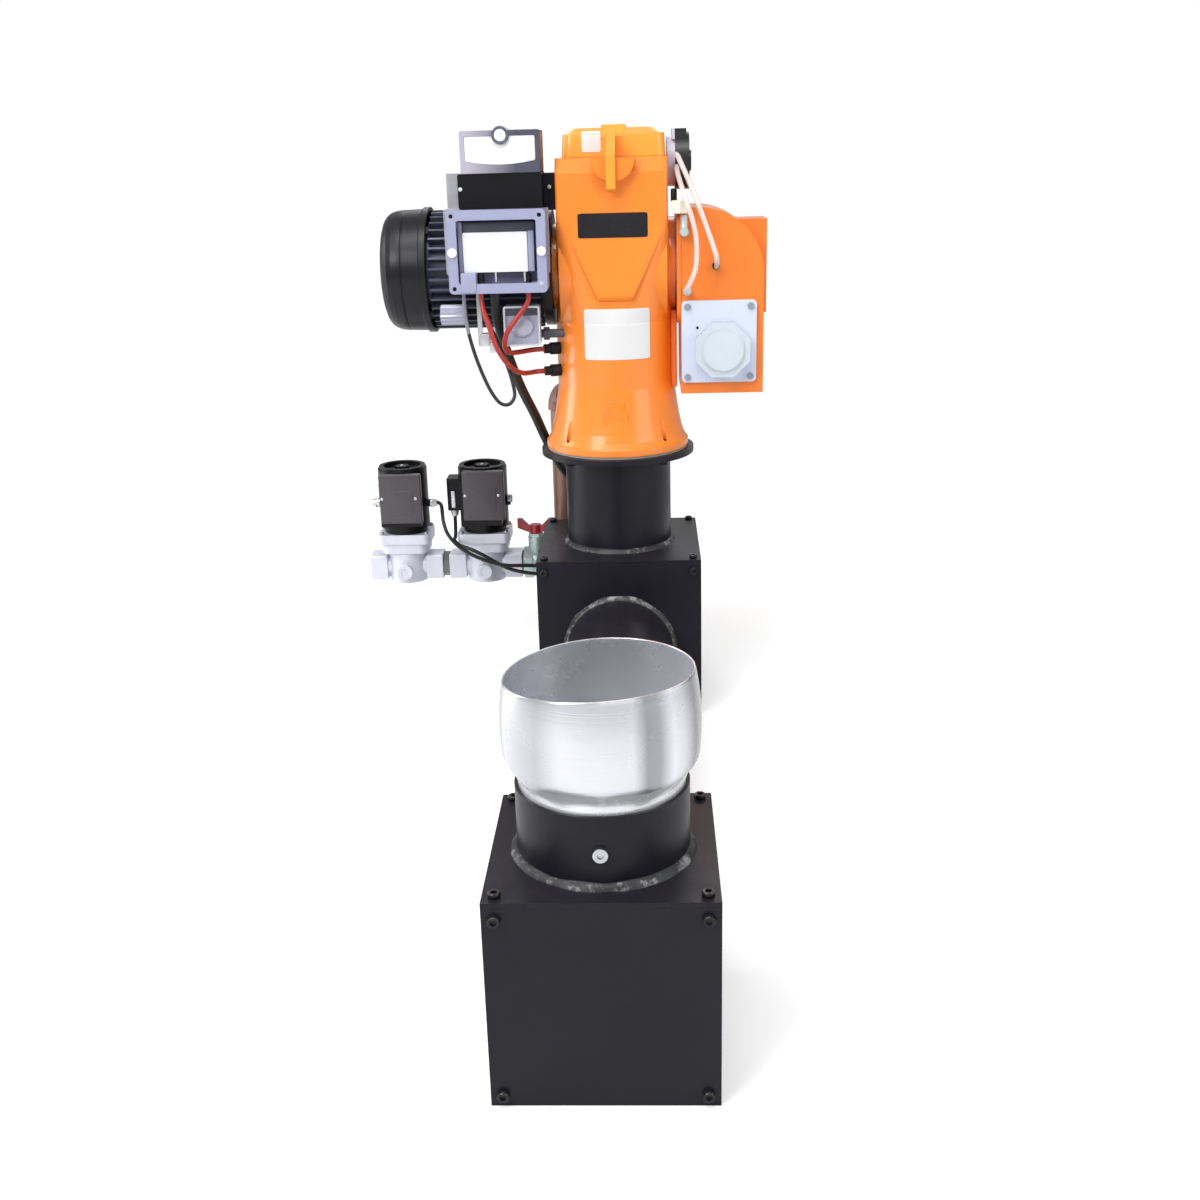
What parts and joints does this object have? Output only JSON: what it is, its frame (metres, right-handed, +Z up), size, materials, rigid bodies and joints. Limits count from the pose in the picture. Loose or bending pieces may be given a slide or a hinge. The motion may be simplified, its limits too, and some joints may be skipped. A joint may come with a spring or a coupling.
{
  "type": "gas boiler burner",
  "caption": "Forced-draught gas burner standing on a black steel duct frame, with side motor, air intake, gas valve train and a steel flame cup.",
  "frame": {"origin": "the foot of the burner axis on the floor, at the centre of the rear box underside", "axes": "+X to the right towards the air intake, +Y away from the flame cup, +Z up"},
  "size_m": [0.626, 1.1855, 0.8227],
  "materials": {
    "ball_valve_nickel": "nickel plate",
    "black_bolt": "black oxide",
    "black_steel": "semi-gloss powder coat",
    "brass_head": "dull",
    "bright_steel": "plain",
    "ceramic": "glazed ceramic",
    "clear_cover": "translucent",
    "coil_black": "moulded",
    "cover_orange": "gloss paint",
    "cup_steel": "spun satin",
    "fan_alu": "sheet",
    "fitting_brass": "plated",
    "gasket_rope": "matte board",
    "grey_cover": "gloss",
    "handle_red": "gloss paint",
    "hose_clear": "clear tube",
    "lead_jacket": "silicone",
    "lilac_tray": "satin",
    "motor_dark": "matte",
    "motor_grey": "cast",
    "orange_paint": "gloss paint",
    "pipe_copper": "primed steel",
    "plastic_black": "fine grain",
    "rubber_black": "matte",
    "servo_grey": "satin",
    "stator_iron": "laminated",
    "switch_grey": "satin",
    "valve_alu": "die-cast",
    "weld": "rough bead",
    "white_plastic": "gloss",
    "zinc_sheet": "zinc-plated sheet"
  },
  "bodies": {
    "burner": {"rear_box_shell": "black_steel", "rear_box_top_plate": "black_steel", "rear_box_front_plate": "black_steel", "front_box_shell": "black_steel", "front_box_top_plate": "black_steel", "front_box_cover": "black_steel", "box_screws": "black_bolt", "cross_duct": "black_steel", "riser_duct": "black_steel", "inlet_duct": "black_steel", "weld_beads": "weld", "flame_cup": "cup_steel", "cup_set_screw": "bright_steel", "flange_plate": "black_steel", "flange_gasket": "gasket_rope", "flange_bolts": "black_bolt", "burner_casting": "orange_paint", "top_cover": "cover_orange", "cover_strap": "cover_orange", "gas_head": "brass_head", "diffuser_disc": "bright_steel", "electrodes": "ceramic", "lead_boots": "rubber_black", "motor_end_shield": "motor_dark", "motor_housing": "motor_grey", "stator_core": "stator_iron", "motor_bearings": "bright_steel", "motor_fan_cowl": "motor_dark", "intake_gasket": "rubber_black", "intake_housing": "orange_paint", "servo_body": "servo_grey", "servo_cover": "clear_cover", "mounting_panel": "zinc_sheet", "control_bracket": "black_steel", "control_base": "plastic_black", "control_cover": "grey_cover", "transformer_tray": "lilac_tray", "ignition_transformer": "white_plastic", "tray_screws": "white_plastic", "gas_pressure_switch": "switch_grey", "air_pressure_switch": "plastic_black", "hose_fittings": "fitting_brass", "valve_body_1": "valve_alu", "valve_body_2": "valve_alu", "valve_coil_1": "coil_black", "valve_coil_2": "coil_black", "ball_valve_body": "ball_valve_nickel", "gas_pipe": "pipe_copper", "control_leads": "lead_jacket", "sensing_hoses": "hose_clear"},
    "fan": {"motor_rotor": "bright_steel", "impeller": "fan_alu", "cooling_fan": "plastic_black"},
    "damper": {"damper_flap": "zinc_sheet", "damper_shaft": "bright_steel", "damper_dial": "white_plastic"},
    "reset": {"reset_button": "white_plastic"},
    "valve_handle": {"ball_valve_handle": "handle_red"},
    "plunger_1": {"valve_plunger_1": "bright_steel"},
    "plunger_2": {"valve_plunger_2": "bright_steel"}
  },
  "joints": [
    {"name": "fan_spin", "type": "hinge", "parent": "burner", "child": "fan", "pos_m": [0, 0.014, 0.633], "axis": [1, 0, 0], "continuous": true},
    {"name": "damper_turn", "type": "hinge", "parent": "burner", "child": "damper", "pos_m": [0.14905, 0.014, 0.525], "axis": [0, 1, 0], "range_deg": [0, 90]},
    {"name": "reset_press", "type": "slide", "parent": "burner", "child": "reset", "axis": [0, 1, 0], "range_m": [0, 0.0025], "stiffness_N_per_m": 800},
    {"name": "ball_valve_turn", "type": "hinge", "parent": "burner", "child": "valve_handle", "pos_m": [-0.14, 0.162, 0.152], "axis": [0, 0, 1], "range_deg": [0, 90]},
    {"name": "plunger_1_lift", "type": "slide", "parent": "burner", "child": "plunger_1", "axis": [0, 0, 1], "range_m": [0, 0.004], "stiffness_N_per_m": 1500, "springref_m": -0.006},
    {"name": "plunger_2_lift", "type": "slide", "parent": "burner", "child": "plunger_2", "axis": [0, 0, 1], "range_m": [0, 0.004], "stiffness_N_per_m": 1500, "springref_m": -0.006}
  ]
}
